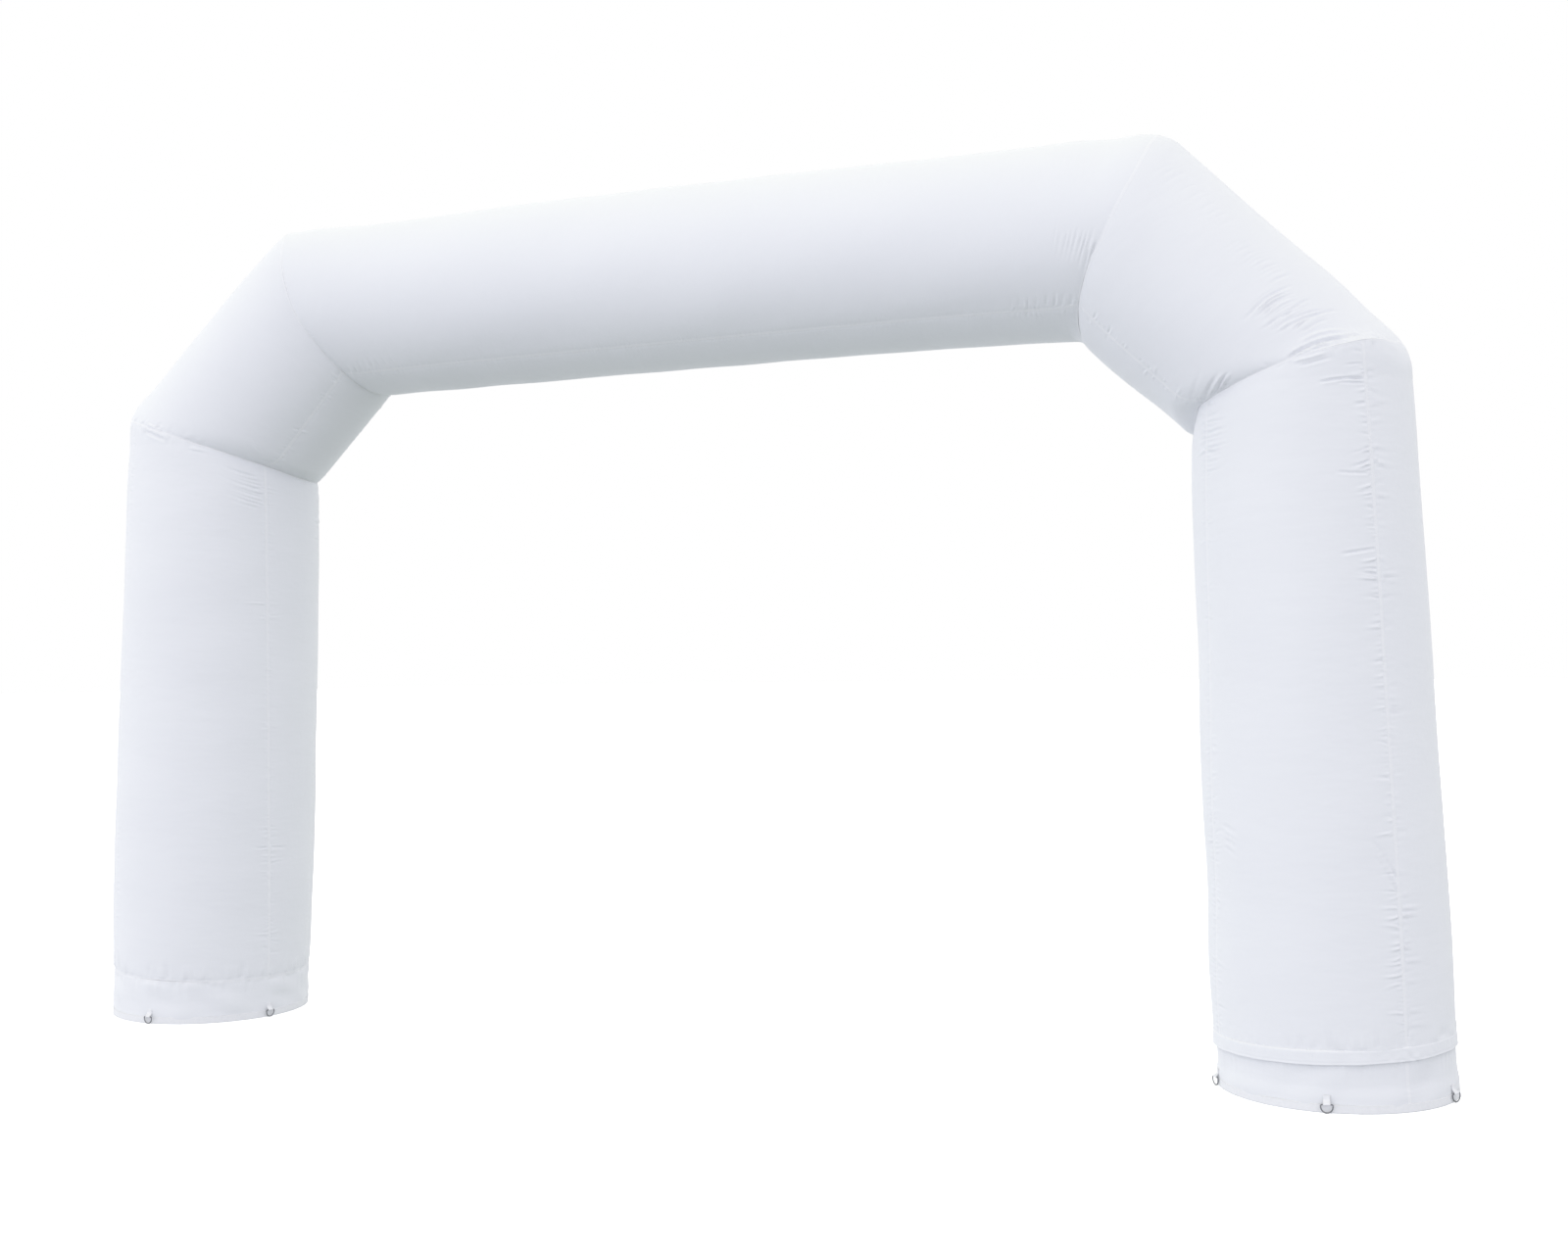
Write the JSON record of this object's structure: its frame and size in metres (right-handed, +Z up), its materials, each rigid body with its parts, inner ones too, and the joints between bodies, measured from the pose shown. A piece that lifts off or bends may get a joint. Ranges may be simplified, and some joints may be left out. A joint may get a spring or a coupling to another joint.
{
  "type": "inflatable arch",
  "caption": "Inflatable event arch of sewn round tubes: leaning legs, angled shoulders and a straight beam, on short skirts with a webbing hem, webbing tabs and lashing rings.",
  "frame": {"origin": "on the ground, midway between the two feet", "axes": "+X along the span towards the foot with the flap, -Y the front, +Z up"},
  "size_m": [7.3818, 1.1195, 4.502],
  "materials": {
    "white_cloth": "coated white polyester with a soft satin sheen",
    "white_webbing": "matt white woven webbing",
    "ring_steel": "dark welded steel wire"
  },
  "bodies": {
    "root": {"beam_back": "white_cloth", "beam_front": "white_cloth", "beam_under": "white_cloth", "flap_right": "white_cloth", "floor_left": "white_cloth", "floor_right": "white_cloth", "hem_tape_left": "white_webbing", "hem_tape_right": "white_webbing", "leg_left_back": "white_cloth", "leg_left_front": "white_cloth", "leg_left_inner": "white_cloth", "leg_left_outer": "white_cloth", "leg_right_back": "white_cloth", "leg_right_front": "white_cloth", "leg_right_inner": "white_cloth", "leg_right_outer": "white_cloth", "ring_left_1": "ring_steel", "ring_left_2": "ring_steel", "ring_left_3": "ring_steel", "ring_left_4": "ring_steel", "ring_left_5": "ring_steel", "ring_right_1": "ring_steel", "ring_right_2": "ring_steel", "ring_right_3": "ring_steel", "ring_right_4": "ring_steel", "ring_right_5": "ring_steel", "shoulder_left_back": "white_cloth", "shoulder_left_front": "white_cloth", "shoulder_left_under": "white_cloth", "shoulder_right_back": "white_cloth", "shoulder_right_front": "white_cloth", "shoulder_right_under": "white_cloth", "skirt_left": "white_cloth", "skirt_right": "white_cloth", "tab_left_1": "white_webbing", "tab_left_2": "white_webbing", "tab_left_3": "white_webbing", "tab_left_4": "white_webbing", "tab_left_5": "white_webbing", "tab_right_1": "white_webbing", "tab_right_2": "white_webbing", "tab_right_3": "white_webbing", "tab_right_4": "white_webbing", "tab_right_5": "white_webbing"}
  },
  "joints": []
}
